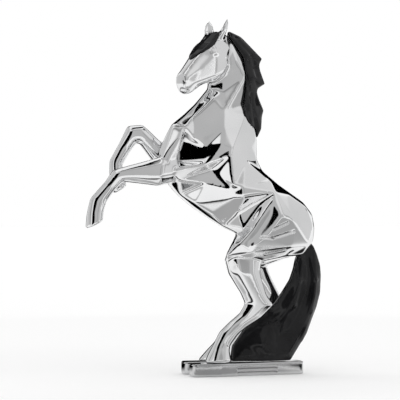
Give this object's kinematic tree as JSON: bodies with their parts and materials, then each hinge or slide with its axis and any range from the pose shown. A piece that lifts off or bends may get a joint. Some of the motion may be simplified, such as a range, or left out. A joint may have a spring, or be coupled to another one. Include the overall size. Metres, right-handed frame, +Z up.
{
  "type": "rearing horse sculpture",
  "caption": "Faceted chrome horse rearing on its hind legs, with a black mane, forelock and tail that reaches the low base as a third support.",
  "frame": {"origin": "middle of the base's underside, on the plane of symmetry of the trunk", "axes": "the horse faces -X and its left side is toward -Y; +Z is up"},
  "size_m": [0.2451, 0.062, 0.3552],
  "materials": {
    "chrome": "mirror-bright plating over cast resin",
    "black_lacquer": "high-gloss black lacquer over cast resin"
  },
  "bodies": {
    "root": {"horse_body": "chrome", "mane": "black_lacquer", "forelock": "black_lacquer", "tail": "black_lacquer", "base": "chrome"}
  },
  "joints": []
}
